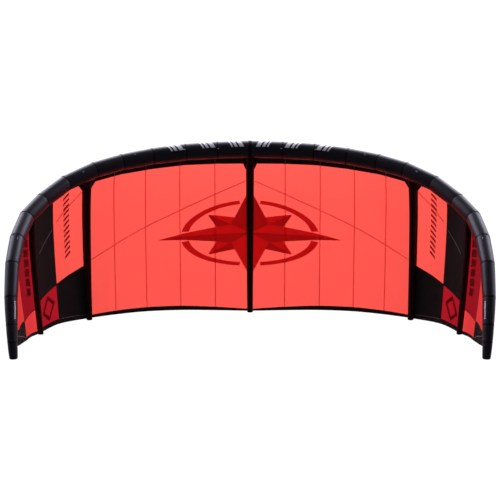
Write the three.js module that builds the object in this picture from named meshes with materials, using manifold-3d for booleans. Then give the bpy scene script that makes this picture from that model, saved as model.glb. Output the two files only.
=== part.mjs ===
// Kitesurfing kite: an inflated leading edge tube, five inflated struts and a canopy sewn from cut panels.
// It stands on its two wing tips and on the tail of its centre strut, with the hollow side towards -Y.
// Millimetres, +X along the span, +Z up. The origin is the middle of the centre strut's flat foot.
// The right wing (+X) is modelled, and the left wing is its mirror image.
import * as THREE from "three";
import { mergeVertices } from "three/addons/utils/BufferGeometryUtils.js";
import Module from "manifold-3d";

const CLOTH = 1.5; // thickness of every cloth sheet
const SEAM_GAP = 0.3; // each cut edge stands back this far from its seam line
const SKIN_GAP = 3; // from a tube's skin to the middle of the cloth beside it
const SADDLE_GAP = 0.6; // between a strut's saddle cut and the leading edge tube
const CORE_LENGTH = 4; // spans the gap between the tube's two halves
const CREST = 0.3; // share of the chord, from the leading edge, where the camber is deepest
const RUN_REACH = 0.5; // stations to each side over which the tube's direction is averaged
const TUBE_SIDES = 24;
const STRUT_SIDES = 16;
const STRUT_ROWS = 12;
const COLUMN_STEP = 0.4; // widest column of a cloth grid, in stations
const ROW_STEP = 130; // tallest row of a cloth grid
const TIP_COLUMNS = 6; // columns in each stretch of every wing tip piece, so that neighbours meet
const STRUT_REACH = 0.02; // share of the chord to each side over which a strut's direction is taken
const FOOT_ROUNDING = [
  { drop: 0.55, size: 0.98 },
  { drop: 0.85, size: 0.88 },
  { drop: 1, size: 0.7 },
]; // rings of a strut's rounded tail: share of its drop, and share of the strut's radius
const TAB = { width: 16, height: 22, thickness: 3, clearance: 0.6 };

// Seams of the leading edge tube, from the middle of the kite to the foot of the wing tip. A station is a
// place counted along these rows, so station 1.5 is half way between the second and the third seam.
const TUBE_SEAMS = [
  { x: 0, y: 0, z: 1733, radius: 86 },
  { x: 337, y: -10, z: 1723, radius: 85 },
  { x: 663, y: -45, z: 1705, radius: 84 },
  { x: 1000, y: -115, z: 1667, radius: 82 },
  { x: 1298, y: -225, z: 1615, radius: 80 },
  { x: 1558, y: -360, z: 1546, radius: 78 },
  { x: 1816, y: -535, z: 1430, radius: 76 },
  { x: 2003, y: -750, z: 1282, radius: 75 },
  { x: 2118, y: -955, z: 1145, radius: 73 },
  { x: 2157, y: -1195, z: 973, radius: 69 },
  { x: 2154, y: -1425, z: 776, radius: 63 },
  { x: 2130, y: -1620, z: 508, radius: 57 },
  { x: 2104, y: -1730, z: 287, radius: 50 },
  { x: 2092, y: -1780, z: 146, radius: 43 },
  { x: 2082, y: -1800, z: 0, radius: 36 },
];

// The tail line under the trailing edge, the depth of the canopy's camber, and how far the trailing edge
// stands outside the tail line.
const TAIL_LINE = [
  { at: 0, x: 0, y: 0, z: 6, camber: 60, standoff: 33 },
  { at: 1.08, x: 366, y: -15, z: 16, camber: 55, standoff: 33 },
  { at: 2.17, x: 730, y: -50, z: 26, camber: 50, standoff: 33 },
  { at: 3.2, x: 1080, y: -120, z: 28, camber: 45, standoff: 33 },
  { at: 4.25, x: 1385, y: -245, z: 25, camber: 38, standoff: 33 },
  { at: 5.27, x: 1642, y: -430, z: 29, camber: 32, standoff: 32 },
  { at: 6.58, x: 1885, y: -690, z: 36, camber: 26, standoff: 30 },
  { at: 7.75, x: 2025, y: -950, z: 6, camber: 20, standoff: 27 },
  { at: 9, x: 2062, y: -1130, z: 24, camber: 12, standoff: 14 },
  { at: 10.2, x: 2070, y: -1345, z: 41, camber: 8, standoff: 8 },
  { at: 11.3, x: 2066, y: -1500, z: 60, camber: 6, standoff: 6 },
  { at: 12.3, x: 2060, y: -1640, z: 80, camber: 3, standoff: 5 },
  { at: 13.2, x: 2060, y: -1735, z: 95, camber: 0, standoff: 4 },
];

// Where the canopy is sewn to the tube: degrees from the tube's outermost line towards the canopy.
const SEWN_AT = [
  { at: 0, degrees: 20 },
  { at: 5.3, degrees: 35 },
  { at: 7.75, degrees: 52 },
  { at: 9, degrees: 85 },
  { at: 10, degrees: 95 },
  { at: 13.2, degrees: 100 },
];

// Struts: station, radius at the leading edge and at the tail, and how far the tail reaches below the
// trailing edge.
const STRUTS = [
  { name: "strut_centre", at: 0, root: 44, tail: 30, drop: 6 },
  { name: "strut_inner", at: 5.27, root: 39, tail: 29, drop: 11 },
  { name: "strut_outer", at: 7.75, root: 30, tail: 24, drop: 5 },
];
const INNER = STRUTS[1].at;
const OUTER = STRUTS[2].at;
const TIP_END = 13.2; // last station of the canopy
const WING_SEAM = 6.54; // station of the upright seam between the inner and the outer strut
const MAIN_SEAMS = [0, 1.08, 2.17, 3.2, 4.25, INNER];

// Seam lines of the canopy as [station, share of the chord]. 0 is the leading edge and 1 the trailing edge.
const SEWN_EDGE = [[0, 0], [TIP_END, 0]];
const TRAILING_EDGE = [[0, 1], [TIP_END, 1]];
const FRONT_BAND = [
  [0, 0.13],
  [0.13, 0.072],
  [1.08, 0.066],
  [2.17, 0.061],
  [3.2, 0.06],
  [4.25, 0.056],
  [5.05, 0.056],
  [INNER, 0.1],
];
const MAIN_TAIL_BAND = [
  [0, 0.99],
  [1.08, 0.98],
  [2.17, 0.974],
  [3.2, 0.974],
  [4.25, 0.976],
  [INNER, 0.982],
];
const WING_CROSS = [[INNER, 0.615], [WING_SEAM, 0.69], [OUTER, 0.755]];
const WING_TAIL_BAND = [[INNER, 0.972], [WING_SEAM, 0.963], [OUTER, 0.968]];

// Corners of the pieces outside the outer strut, as [station, share of the chord].
const TIP = {
  seamTop: [9.4, 0],
  seamCross: [9.75, 0.764],
  seamFoot: [9.97, 0.966],
  strutCross: [OUTER, 0.785],
  strutFoot: [OUTER, 0.975],
  crossMiddle: [11.35, 0.632],
  crossEnd: [12.65, 0],
  tubeMiddle: [11.3, 0],
  tubeEnd: [12.55, 0],
  patchMiddle: [11.95, 0.597],
  patchEnd: [12.85, 0],
};

// Bridle tabs on the front of the tube: station, and degrees from the inward side towards the nose.
const TABS = [
  { at: 0.98, degrees: 14 },
  { at: 2.05, degrees: 22 },
  { at: 3.6, degrees: 42 },
  { at: 5.45, degrees: 34 },
  { at: 9.2, degrees: 65 },
];

const colours = { coral: 0xff5a48, red: 0xa81620, black: 0x1b1b20, white: 0xe8e8ea };
const finish = (colour, roughness) =>
  new THREE.MeshStandardMaterial({ color: colour, roughness, metalness: 0, side: THREE.DoubleSide });
const material = {
  coral: finish(colours.coral, 0.55),
  red: finish(colours.red, 0.55),
  black: finish(colours.black, 0.6),
  tube: finish(colours.black, 0.4),
  webbing: finish(colours.white, 0.7),
};

const wasm = await Module();
wasm.setup();

const vector = (row) => new THREE.Vector3(row.x, row.y, row.z);
const mix = (a, b, share) => a + (b - a) * share;

// The value of a table's column at a station, on straight lines between its rows.
function along(table, column, station) {
  const last = table.length - 1;
  let row = 0;
  while (row < last - 1 && station > table[row + 1].at) row += 1;
  const share = (station - table[row].at) / (table[row + 1].at - table[row].at);
  return mix(table[row][column], table[row + 1][column], THREE.MathUtils.clamp(share, 0, 1));
}

const tubeTable = TUBE_SEAMS.map((row, i) => ({ ...row, at: i }));
const tubeRadius = (station) => along(tubeTable, "radius", station);
const tubeCentre = (station) =>
  new THREE.Vector3(...["x", "y", "z"].map((column) => along(tubeTable, column, station)));

// A point of the tail line on a smooth curve: each row's slope is the mean slope to its neighbours.
function tailPoint(station) {
  const last = TAIL_LINE.length - 1;
  let row = 0;
  while (row < last - 1 && station > TAIL_LINE[row + 1].at) row += 1;
  const [a, b] = [TAIL_LINE[row], TAIL_LINE[row + 1]];
  const width = b.at - a.at;
  const s = (station - a.at) / width;
  const slope = (index, column) => {
    const before = TAIL_LINE[Math.max(index - 1, 0)];
    const after = TAIL_LINE[Math.min(index + 1, last)];
    return (after[column] - before[column]) / (after.at - before.at);
  };
  const value = (column) =>
    (2 * s ** 3 - 3 * s ** 2 + 1) * a[column] +
    (s ** 3 - 2 * s ** 2 + s) * width * slope(row, column) +
    (-2 * s ** 3 + 3 * s ** 2) * b[column] +
    (s ** 3 - s ** 2) * width * slope(row + 1, column);
  return new THREE.Vector3(value("x"), value("y"), value("z"));
}

// The direction of the tube's run, averaged over its neighbourhood. The kite is mirrored at station 0.
function tubeRun(station) {
  const before = tubeCentre(Math.abs(station - RUN_REACH));
  if (station < RUN_REACH) before.x *= -1;
  return tubeCentre(Math.min(station + RUN_REACH, TUBE_SEAMS.length - 1)).sub(before).normalize();
}

// Directions at a station: along the tube, out of the kite's hollow, and from the tube towards the canopy.
function directions(station) {
  const run = tubeRun(station);
  const chord = tailPoint(station).sub(tubeCentre(station));
  const outward = new THREE.Vector3().crossVectors(chord, run).normalize();
  if (outward.x + outward.y * 0.5 < 0) outward.negate();
  const back = chord.addScaledVector(run, -chord.dot(run)).normalize();
  return { run, outward, back };
}

// Where the middle of the cloth starts beside the tube.
function sewnPoint(station) {
  const { outward, back } = directions(station);
  const angle = THREE.MathUtils.degToRad(along(SEWN_AT, "degrees", station));
  const reach = tubeRadius(station) + SKIN_GAP;
  return tubeCentre(station)
    .addScaledVector(outward, reach * Math.cos(angle))
    .addScaledVector(back, reach * Math.sin(angle));
}

// Camber from 0 at both edges to 1 at the crest, on two parabolas.
function camberShape(share) {
  return share < CREST
    ? (2 * CREST * share - share ** 2) / CREST ** 2
    : (1 - 2 * CREST + 2 * CREST * share - share ** 2) / (1 - CREST) ** 2;
}

// A point of the canopy's middle surface, moved outwards by offset.
function canopyPoint(station, share, offset = 0) {
  const { outward } = directions(station);
  const tail = tailPoint(station).addScaledVector(outward, along(TAIL_LINE, "standoff", station));
  const lift = along(TAIL_LINE, "camber", station) * camberShape(share) + offset;
  return sewnPoint(station).lerp(tail, share).addScaledVector(outward, lift);
}

function geometryOf(points, triangles) {
  const flat = points.flatMap((p) => [p.x, p.y, p.z]);
  const geometry = new THREE.BufferGeometry();
  geometry.setAttribute("position", new THREE.Float32BufferAttribute(flat, 3));
  geometry.setIndex(triangles.flat());
  geometry.computeVertexNormals();
  return geometry;
}

// A closed solid through rings of equal length, closed by a fan at each end.
function loft(rings) {
  const sides = rings[0].length;
  const points = rings.flat();
  const triangles = [];
  for (let r = 0; r < rings.length - 1; r += 1) {
    for (let k = 0; k < sides; k += 1) {
      const a = r * sides + k;
      const b = r * sides + ((k + 1) % sides);
      triangles.push([a, b, b + sides], [a, b + sides, a + sides]);
    }
  }
  for (const [first, flip] of [[0, true], [(rings.length - 1) * sides, false]]) {
    const middle = new THREE.Vector3();
    for (let k = 0; k < sides; k += 1) middle.addScaledVector(points[first + k], 1 / sides);
    const centre = points.push(middle) - 1;
    for (let k = 0; k < sides; k += 1) {
      const pair = [first + k, first + ((k + 1) % sides)];
      triangles.push(flip ? [centre, pair[1], pair[0]] : [centre, pair[0], pair[1]]);
    }
  }
  return geometryOf(points, triangles);
}

// A round ring about an axis. Its first point lies on the side of the reference direction.
function ring(centre, axis, reference, radius, sides) {
  const across = reference.clone().addScaledVector(axis, -reference.dot(axis)).normalize();
  const up = new THREE.Vector3().crossVectors(axis, across);
  return Array.from({ length: sides }, (_, k) => {
    const turn = (2 * Math.PI * k) / sides;
    return centre
      .clone()
      .addScaledVector(across, radius * Math.cos(turn))
      .addScaledVector(up, radius * Math.sin(turn));
  });
}

// The axis of the seam ring at a tube seam: half way between the segments that meet there.
function seamAxis(seam) {
  const here = vector(TUBE_SEAMS[seam]);
  if (seam === 0) return new THREE.Vector3(1, 0, 0);
  if (seam === TUBE_SEAMS.length - 1) return new THREE.Vector3(0, 0, -1);
  const before = here.clone().sub(vector(TUBE_SEAMS[seam - 1])).normalize();
  const after = vector(TUBE_SEAMS[seam + 1]).sub(here).normalize();
  return before.add(after).normalize();
}

// The tube from one seam to another, as straight tapered segments. Grow makes it fatter all round.
function tubeSection(first, last, grow = 0) {
  const reference = new THREE.Vector3(0, 0.8, -0.6);
  const rings = [];
  for (let seam = first; seam <= last; seam += 1) {
    const axis = seamAxis(seam);
    let shift = 0; // a cut end stands back from its seam, but the foot of the tip stays on the ground
    if (seam === first) shift = SEAM_GAP;
    else if (seam === last && last < TUBE_SEAMS.length - 1) shift = -SEAM_GAP;
    const centre = vector(TUBE_SEAMS[seam]).addScaledVector(axis, shift);
    rings.push(ring(centre, axis, reference, TUBE_SEAMS[seam].radius + grow, TUBE_SIDES));
  }
  return loft(rings);
}

// A strut lies along the inside of the canopy, tapers to its tail and ends in a level rounded foot.
function strutBody({ at, root, tail, drop }) {
  const axisPoint = (share) => canopyPoint(at, share, -mix(root, tail, share) - SKIN_GAP);
  const reference = directions(at).outward;
  const rings = [];
  for (let r = 0; r <= STRUT_ROWS; r += 1) {
    const share = r / STRUT_ROWS;
    const before = axisPoint(Math.max(share - STRUT_REACH, 0));
    const run = axisPoint(Math.min(share + STRUT_REACH, 1)).sub(before).normalize();
    rings.push(ring(axisPoint(share), run, reference, mix(root, tail, share), STRUT_SIDES));
  }
  const foot = axisPoint(1);
  const down = new THREE.Vector3(0, 0, -1);
  for (const rounding of FOOT_ROUNDING) {
    const centre = foot.clone().addScaledVector(down, drop * rounding.drop);
    rings.push(ring(centre, down, reference, tail * rounding.size, STRUT_SIDES));
  }
  return loft(rings);
}

// A closed mesh as a solid, and back.
function toSolid(geometry) {
  const bare = geometry.clone();
  bare.deleteAttribute("normal");
  const merged = mergeVertices(bare, 1e-4);
  return new wasm.Manifold(
    new wasm.Mesh({
      numProp: 3,
      vertProperties: merged.attributes.position.array,
      triVerts: new Uint32Array(merged.index.array),
    }),
  );
}
function fromSolid(solid) {
  const mesh = solid.getMesh();
  const geometry = new THREE.BufferGeometry();
  geometry.setAttribute("position", new THREE.BufferAttribute(mesh.vertProperties, 3));
  geometry.setIndex(new THREE.BufferAttribute(mesh.triVerts, 1));
  geometry.computeVertexNormals();
  return geometry;
}

// The strut with its root cut to a saddle that fits round the leading edge tube.
function strutWithSaddle(strut) {
  const first = Math.max(Math.floor(strut.at) - 1, 0);
  let cutter = toSolid(tubeSection(first, Math.ceil(strut.at) + 2, SADDLE_GAP));
  if (strut.at === 0) cutter = cutter.add(cutter.mirror([1, 0, 0])).add(centreCore());
  return fromSolid(toSolid(strutBody(strut)).subtract(cutter));
}

// Fills the narrow gap between the two halves of the tube in the middle of the kite.
function centreCore() {
  const radius = TUBE_SEAMS[0].radius + SADDLE_GAP;
  const core = new THREE.CylinderGeometry(radius, radius, CORE_LENGTH, TUBE_SIDES);
  core.deleteAttribute("uv");
  core.rotateZ(Math.PI / 2).translate(0, 0, TUBE_SEAMS[0].z);
  return toSolid(core);
}

// Two seam lines with a corner on each wherever either of them has one.
function matchedLines(upper, lower, from, to) {
  const stops = [...upper, ...lower].map(([at]) => at).filter((at) => at > from && at < to);
  const stations = [...new Set([from, ...stops, to])].sort((a, b) => a - b);
  const onLine = (line) => {
    const rows = line.map(([at, share]) => ({ at, share }));
    return stations.map((at) => [at, along(rows, "share", at)]);
  };
  return { top: onLine(upper), bottom: onLine(lower) };
}

// Shares of the way along one stretch of an edge: evenly spaced, with a stop at every tube seam, or as many
// as count says.
function stretchStops(from, to, count) {
  if (count) return Array.from({ length: count + 1 }, (_, k) => k / count);
  const stops = [0];
  const seams = [];
  for (let seam = Math.ceil(from + 0.05); seam < to - 0.05; seam += 1) seams.push(seam);
  const marks = [from, ...seams, to];
  for (let m = 1; m < marks.length; m += 1) {
    const steps = Math.max(1, Math.ceil((marks[m] - marks[m - 1]) / COLUMN_STEP));
    for (let c = 1; c <= steps; c += 1) {
      stops.push((mix(marks[m - 1], marks[m], c / steps) - from) / (to - from));
    }
  }
  return stops;
}

// The middle surface of a panel: columns of points from its top edge to its bottom edge.
function panelGrid({ top, bottom, columns }) {
  const places = [];
  for (let k = 0; k < top.length - 1; k += 1) {
    for (const share of stretchStops(top[k][0], top[k + 1][0], columns)) {
      if (share === 0 && k > 0) continue;
      const upper = [0, 1].map((i) => mix(top[k][i], top[k + 1][i], share));
      const lower = [0, 1].map((i) => mix(bottom[k][i], bottom[k + 1][i], share));
      places.push({ upper, lower });
    }
  }
  const length = Math.max(
    ...places.map(({ upper, lower }) => canopyPoint(...upper).distanceTo(canopyPoint(...lower))),
  );
  const rows = Math.max(1, Math.ceil(length / ROW_STEP));
  return places.map(({ upper, lower }) =>
    Array.from({ length: rows + 1 }, (_, r) =>
      canopyPoint(mix(upper[0], lower[0], r / rows), mix(upper[1], lower[1], r / rows)),
    ),
  );
}

// Draws the rim of a grid in from its seam lines.
function drawnIn(grid) {
  const out = grid.map((column) => column.map((p) => p.clone()));
  const step = (to, from) => from.clone().sub(to).normalize().multiplyScalar(SEAM_GAP);
  const lastColumn = grid.length - 1;
  const lastRow = grid[0].length - 1;
  for (let c = 0; c <= lastColumn; c += 1) {
    out[c][0].add(step(grid[c][0], grid[c][1]));
    out[c][lastRow].add(step(grid[c][lastRow], grid[c][lastRow - 1]));
  }
  for (let r = 0; r <= lastRow; r += 1) {
    out[0][r].add(step(grid[0][r], grid[1][r]));
    out[lastColumn][r].add(step(grid[lastColumn][r], grid[lastColumn - 1][r]));
  }
  return out;
}

// A cloth sheet: the grid's two faces, half the cloth's thickness to each side, and the rim between them.
function sheet(lines) {
  const grid = drawnIn(panelGrid(lines));
  const columns = grid.length;
  const rows = grid[0].length;
  const { clamp } = THREE.MathUtils;
  const at = (c, r) => grid[clamp(c, 0, columns - 1)][clamp(r, 0, rows - 1)];
  const faces = [[], []];
  for (let c = 0; c < columns; c += 1) {
    for (let r = 0; r < rows; r += 1) {
      const across = at(c + 1, r).clone().sub(at(c - 1, r));
      const down = at(c, r + 1).clone().sub(at(c, r - 1));
      const normal = new THREE.Vector3().crossVectors(down, across).normalize();
      faces[0].push(grid[c][r].clone().addScaledVector(normal, CLOTH / 2));
      faces[1].push(grid[c][r].clone().addScaledVector(normal, -CLOTH / 2));
    }
  }
  const points = faces.flat();
  const under = columns * rows;
  const id = (c, r) => c * rows + r;
  const triangles = [];
  for (let c = 0; c < columns - 1; c += 1) {
    for (let r = 0; r < rows - 1; r += 1) {
      const [a, b, d, e] = [id(c, r), id(c + 1, r), id(c, r + 1), id(c + 1, r + 1)];
      triangles.push([a, d, e], [a, e, b]);
      triangles.push([a + under, e + under, d + under], [a + under, b + under, e + under]);
    }
  }
  const rim = [];
  for (let r = 0; r < rows - 1; r += 1) rim.push(id(0, r));
  for (let c = 0; c < columns - 1; c += 1) rim.push(id(c, rows - 1));
  for (let r = rows - 1; r > 0; r -= 1) rim.push(id(columns - 1, r));
  for (let c = columns - 1; c > 0; c -= 1) rim.push(id(c, 0));
  rim.forEach((p, k) => {
    const q = rim[(k + 1) % rim.length];
    triangles.push([p, p + under, q + under], [p, q + under, q]);
  });
  return geometryOf(points, triangles);
}

// A bridle tab stands out of the tube on the side that faces the rider.
function placeTab(mesh, { at, degrees }) {
  const { run, outward, back } = directions(at);
  const angle = THREE.MathUtils.degToRad(degrees);
  const out = outward.clone().multiplyScalar(-Math.cos(angle)).addScaledVector(back, -Math.sin(angle));
  const side = new THREE.Vector3().crossVectors(run, out).normalize();
  const lift = tubeRadius(at) + TAB.clearance + TAB.height / 2;
  mesh.position.copy(tubeCentre(at).addScaledVector(out, lift));
  mesh.quaternion.setFromRotationMatrix(new THREE.Matrix4().makeBasis(run, out, side));
}

// The pieces of the right wing: name, finish and shape.
function wingPieces() {
  const pieces = [];
  const cloth = (name, finishName, lines) => pieces.push({ name, finishName, geometry: sheet(lines) });

  for (const [name, first, last] of [["main", 0, 5], ["shoulder", 5, 9], ["tip", 9, 13]]) {
    pieces.push({ name: "tube_" + name, finishName: "tube", geometry: tubeSection(first, last) });
  }
  pieces.push({ name: "tip_end", finishName: "tube", geometry: tubeSection(13, 14) });
  for (const strut of STRUTS.slice(1)) {
    pieces.push({ name: strut.name, finishName: "black", geometry: strutWithSaddle(strut) });
  }

  cloth("front_band", "black", matchedLines(SEWN_EDGE, FRONT_BAND, 0, INNER));
  for (let k = 1; k < MAIN_SEAMS.length; k += 1) {
    const lines = matchedLines(FRONT_BAND, MAIN_TAIL_BAND, MAIN_SEAMS[k - 1], MAIN_SEAMS[k]);
    cloth("main_panel_" + k, "coral", lines);
  }
  cloth("main_tail_band", "black", matchedLines(MAIN_TAIL_BAND, TRAILING_EDGE, 0, INNER));

  cloth("wing_upper_inner", "coral", matchedLines(SEWN_EDGE, WING_CROSS, INNER, WING_SEAM));
  cloth("wing_upper_outer", "black", matchedLines(SEWN_EDGE, WING_CROSS, WING_SEAM, OUTER));
  cloth("wing_lower_inner", "black", matchedLines(WING_CROSS, WING_TAIL_BAND, INNER, WING_SEAM));
  cloth("wing_lower_outer", "red", matchedLines(WING_CROSS, WING_TAIL_BAND, WING_SEAM, OUTER));
  cloth("wing_tail_band", "black", matchedLines(WING_TAIL_BAND, TRAILING_EDGE, INNER, OUTER));

  cloth("tip_upper_inner", "red", {
    columns: TIP_COLUMNS,
    top: [[OUTER, 0], TIP.seamTop],
    bottom: [TIP.strutCross, TIP.seamCross],
  });
  cloth("tip_lower_inner", "coral", {
    columns: TIP_COLUMNS,
    top: [TIP.strutCross, TIP.seamCross],
    bottom: [TIP.strutFoot, TIP.seamFoot],
  });
  cloth("tip_upper_outer", "coral", {
    columns: TIP_COLUMNS,
    top: [TIP.seamTop, TIP.tubeMiddle, TIP.tubeEnd],
    bottom: [TIP.seamCross, TIP.crossMiddle, TIP.crossEnd],
  });
  cloth("tip_lower_outer", "black", {
    columns: TIP_COLUMNS,
    top: [TIP.seamCross, TIP.crossMiddle, TIP.crossEnd],
    bottom: [TIP.seamFoot, TIP.patchMiddle, TIP.patchEnd],
  });
  cloth("tip_tail_band", "black", {
    columns: TIP_COLUMNS,
    top: [TIP.strutFoot, TIP.seamFoot],
    bottom: [[OUTER, 1], [TIP.seamFoot[0], 1]],
  });
  cloth("tip_corner", "black", {
    columns: TIP_COLUMNS,
    top: [TIP.seamFoot, TIP.patchMiddle, TIP.patchEnd, [TIP_END, 0]],
    bottom: [[TIP.seamFoot[0], 1], [11.95, 1], [12.7, 1], [TIP_END, 1]],
  });
  return pieces;
}

const kite = new THREE.Group();
const pieces = wingPieces();
for (const [side, sign] of [["right", 1], ["left", -1]]) {
  const wing = new THREE.Group();
  wing.scale.x = sign;
  for (const { name, finishName, geometry } of pieces) {
    const mesh = new THREE.Mesh(geometry, material[finishName]);
    mesh.name = name + "_" + side;
    wing.add(mesh);
  }
  TABS.forEach((tab, k) => {
    const webbing = new THREE.BoxGeometry(TAB.width, TAB.height, TAB.thickness);
    const mesh = new THREE.Mesh(webbing, material.webbing);
    mesh.name = "bridle_tab_" + (k + 1) + "_" + side;
    placeTab(mesh, tab);
    wing.add(mesh);
  });
  kite.add(wing);
}
const centreStrut = new THREE.Mesh(strutWithSaddle(STRUTS[0]), material.black);
centreStrut.name = STRUTS[0].name;
kite.add(centreStrut);

export default kite;
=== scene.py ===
"""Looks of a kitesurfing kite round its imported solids. Metres, +X along the span, +Z up, the rider at -Y.

A place on the kite is a station, counted along the seams of the leading edge tube from the kite's middle, and
a share of the chord, from 0 at the leading edge to 1 at the trailing edge. A side is 1 for the right wing and
-1 for the left one.
"""

import math

import bpy
import numpy as np
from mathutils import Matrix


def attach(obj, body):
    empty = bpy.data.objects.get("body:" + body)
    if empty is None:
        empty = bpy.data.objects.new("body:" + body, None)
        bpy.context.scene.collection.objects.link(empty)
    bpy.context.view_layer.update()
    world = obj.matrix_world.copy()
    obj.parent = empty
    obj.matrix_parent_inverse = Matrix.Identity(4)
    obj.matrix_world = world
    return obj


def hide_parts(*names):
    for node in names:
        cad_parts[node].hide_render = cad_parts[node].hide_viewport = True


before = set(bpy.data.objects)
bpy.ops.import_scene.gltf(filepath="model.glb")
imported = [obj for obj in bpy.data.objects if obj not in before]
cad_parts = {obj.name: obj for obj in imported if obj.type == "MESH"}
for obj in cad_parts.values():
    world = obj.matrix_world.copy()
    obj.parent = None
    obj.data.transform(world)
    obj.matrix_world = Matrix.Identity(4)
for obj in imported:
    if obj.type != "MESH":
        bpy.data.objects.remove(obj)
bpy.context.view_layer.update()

SIDES = {"right": 1, "left": -1}

# Seams of the leading edge tube: x, y, z and radius.
TUBE_SEAMS = np.array([
    [0, 0, 1.733, 0.086],
    [0.337, -0.010, 1.723, 0.085],
    [0.663, -0.045, 1.705, 0.084],
    [1.000, -0.115, 1.667, 0.082],
    [1.298, -0.225, 1.615, 0.080],
    [1.558, -0.360, 1.546, 0.078],
    [1.816, -0.535, 1.430, 0.076],
    [2.003, -0.750, 1.282, 0.075],
    [2.118, -0.955, 1.145, 0.073],
    [2.157, -1.195, 0.973, 0.069],
    [2.154, -1.425, 0.776, 0.063],
    [2.130, -1.620, 0.508, 0.057],
    [2.104, -1.730, 0.287, 0.050],
    [2.092, -1.780, 0.146, 0.043],
    [2.082, -1.800, 0, 0.036],
])
LAST_SEAM = len(TUBE_SEAMS) - 1

# Tail line: station, x, y, z, camber of the canopy, and how far the trailing edge stands outside the line.
TAIL_LINE = np.array([
    [0, 0, 0, 0.006, 0.060, 0.033],
    [1.08, 0.366, -0.015, 0.016, 0.055, 0.033],
    [2.17, 0.730, -0.050, 0.026, 0.050, 0.033],
    [3.2, 1.080, -0.120, 0.028, 0.045, 0.033],
    [4.25, 1.385, -0.245, 0.025, 0.038, 0.033],
    [5.27, 1.642, -0.430, 0.029, 0.032, 0.032],
    [6.58, 1.885, -0.690, 0.036, 0.026, 0.030],
    [7.75, 2.025, -0.950, 0.006, 0.020, 0.027],
    [9, 2.062, -1.130, 0.024, 0.012, 0.014],
    [10.2, 2.070, -1.345, 0.041, 0.008, 0.008],
    [11.3, 2.066, -1.500, 0.060, 0.006, 0.006],
    [12.3, 2.060, -1.640, 0.080, 0.003, 0.005],
    [13.2, 2.060, -1.735, 0.095, 0, 0.004],
])
# Where the canopy is sewn to the tube: station, and degrees from the tube's outermost line.
SEWN_AT = np.array([[0, 20], [5.3, 35], [7.75, 52], [9, 85], [10, 95], [13.2, 100]])
# How far a strut stands off the cloth, and how far the cloth's sewn edge is tucked under the tube's skin.
SKIN_GAP, TUCK = 0.003, 0.003
# Share of the chord where the canopy's camber is deepest.
CREST = 0.3

# Stations of the inner strut, of the upright seam half way along the wing, of the outer strut, and of the
# canopy's end.
INNER, WING_SEAM, OUTER, TIP_END = 5.27, 6.54, 7.75, 13.2
MAIN_SEAMS = [0, 1.08, 2.17, 3.2, 4.25, INNER]

# Seam lines of the canopy: station and share of the chord.
SEWN_EDGE = [[0, 0], [TIP_END, 0]]
TRAILING_EDGE = [[0, 1], [TIP_END, 1]]
FRONT_BAND = [[0, 0.13], [0.13, 0.072], [1.08, 0.066], [2.17, 0.061], [3.2, 0.06], [4.25, 0.056],
              [5.05, 0.056], [INNER, 0.1]]
MAIN_TAIL_BAND = [[0, 0.99], [1.08, 0.98], [2.17, 0.974], [3.2, 0.974], [4.25, 0.976], [INNER, 0.982]]
WING_CROSS = [[INNER, 0.615], [WING_SEAM, 0.69], [OUTER, 0.755]]
WING_TAIL_BAND = [[INNER, 0.972], [WING_SEAM, 0.963], [OUTER, 0.968]]
TIP_SEAM = [[9.4, 0], [9.75, 0.764], [9.97, 0.966]]
TIP_CROSS_IN = [[OUTER, 0.785], [9.75, 0.764]]
TIP_CROSS_OUT = [[9.75, 0.764], [11.35, 0.632], [12.65, 0]]
TIP_BAND_IN = [[OUTER, 0.975], [9.97, 0.966]]
TIP_CORNER = [[9.97, 0.966], [11.95, 0.597], [12.85, 0]]
# A row of pale stitching on the tip's corner.
TIP_STITCH = [[9.97, 0.966], [10.3, 0.94], [10.9, 0.865], [11.3, 0.805], [11.64, 0.715], [11.86, 0.63]]

# Struts: station, radius at the root and at the tail, and how far the round tail reaches below its line.
STRUTS = {
    "strut_centre": (0, 0.044, 0.030, 0.006),
    "strut_inner": (INNER, 0.039, 0.029, 0.011),
    "strut_outer": (OUTER, 0.030, 0.024, 0.005),
}

# Bridle tabs: station, and degrees from the inward side of the tube towards its nose.
TABS = [(0.98, 14), (2.05, 22), (3.6, 42), (5.45, 34), (9.2, 65)]


def on_wing(name, side):
    """A piece's name with the wing it is on."""
    return f"{name}_{'right' if side > 0 else 'left'}"


def unit(vectors):
    """Vectors divided by their length, along the last axis."""
    return vectors / np.maximum(np.linalg.norm(vectors, axis=-1, keepdims=True), 1e-12)


def tube_column(station, column):
    """Straight lines between the tube's seams."""
    return np.interp(station, np.arange(LAST_SEAM + 1), TUBE_SEAMS[:, column])


def tube_centre(station):
    """The tube's centre line: straight between one seam and the next, mirrored for a station below 0."""
    x = np.sign(station) * tube_column(np.abs(station), 0)
    return np.stack([x, tube_column(np.abs(station), 1), tube_column(np.abs(station), 2)], -1)


def tail_point(station):
    """A smooth curve through the tail line: cubic Hermite pieces whose slope at a row is the slope between
    the rows before and after it."""
    at = TAIL_LINE[:, 0]
    rows = np.arange(len(at))
    before, after = np.maximum(rows - 1, 0), np.minimum(rows + 1, len(at) - 1)
    points = TAIL_LINE[:, 1:4]
    slopes = (points[after] - points[before]) / (at[after] - at[before])[:, None]
    row = np.clip(np.searchsorted(at, station, side="left") - 1, 0, len(at) - 2)
    width = (at[row + 1] - at[row])[..., None]
    s = (station - at[row])[..., None] / width
    return ((2 * s**3 - 3 * s**2 + 1) * points[row] + (s**3 - 2 * s**2 + s) * width * slopes[row]
            + (-2 * s**3 + 3 * s**2) * points[row + 1] + (s**3 - s**2) * width * slopes[row + 1])


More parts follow.
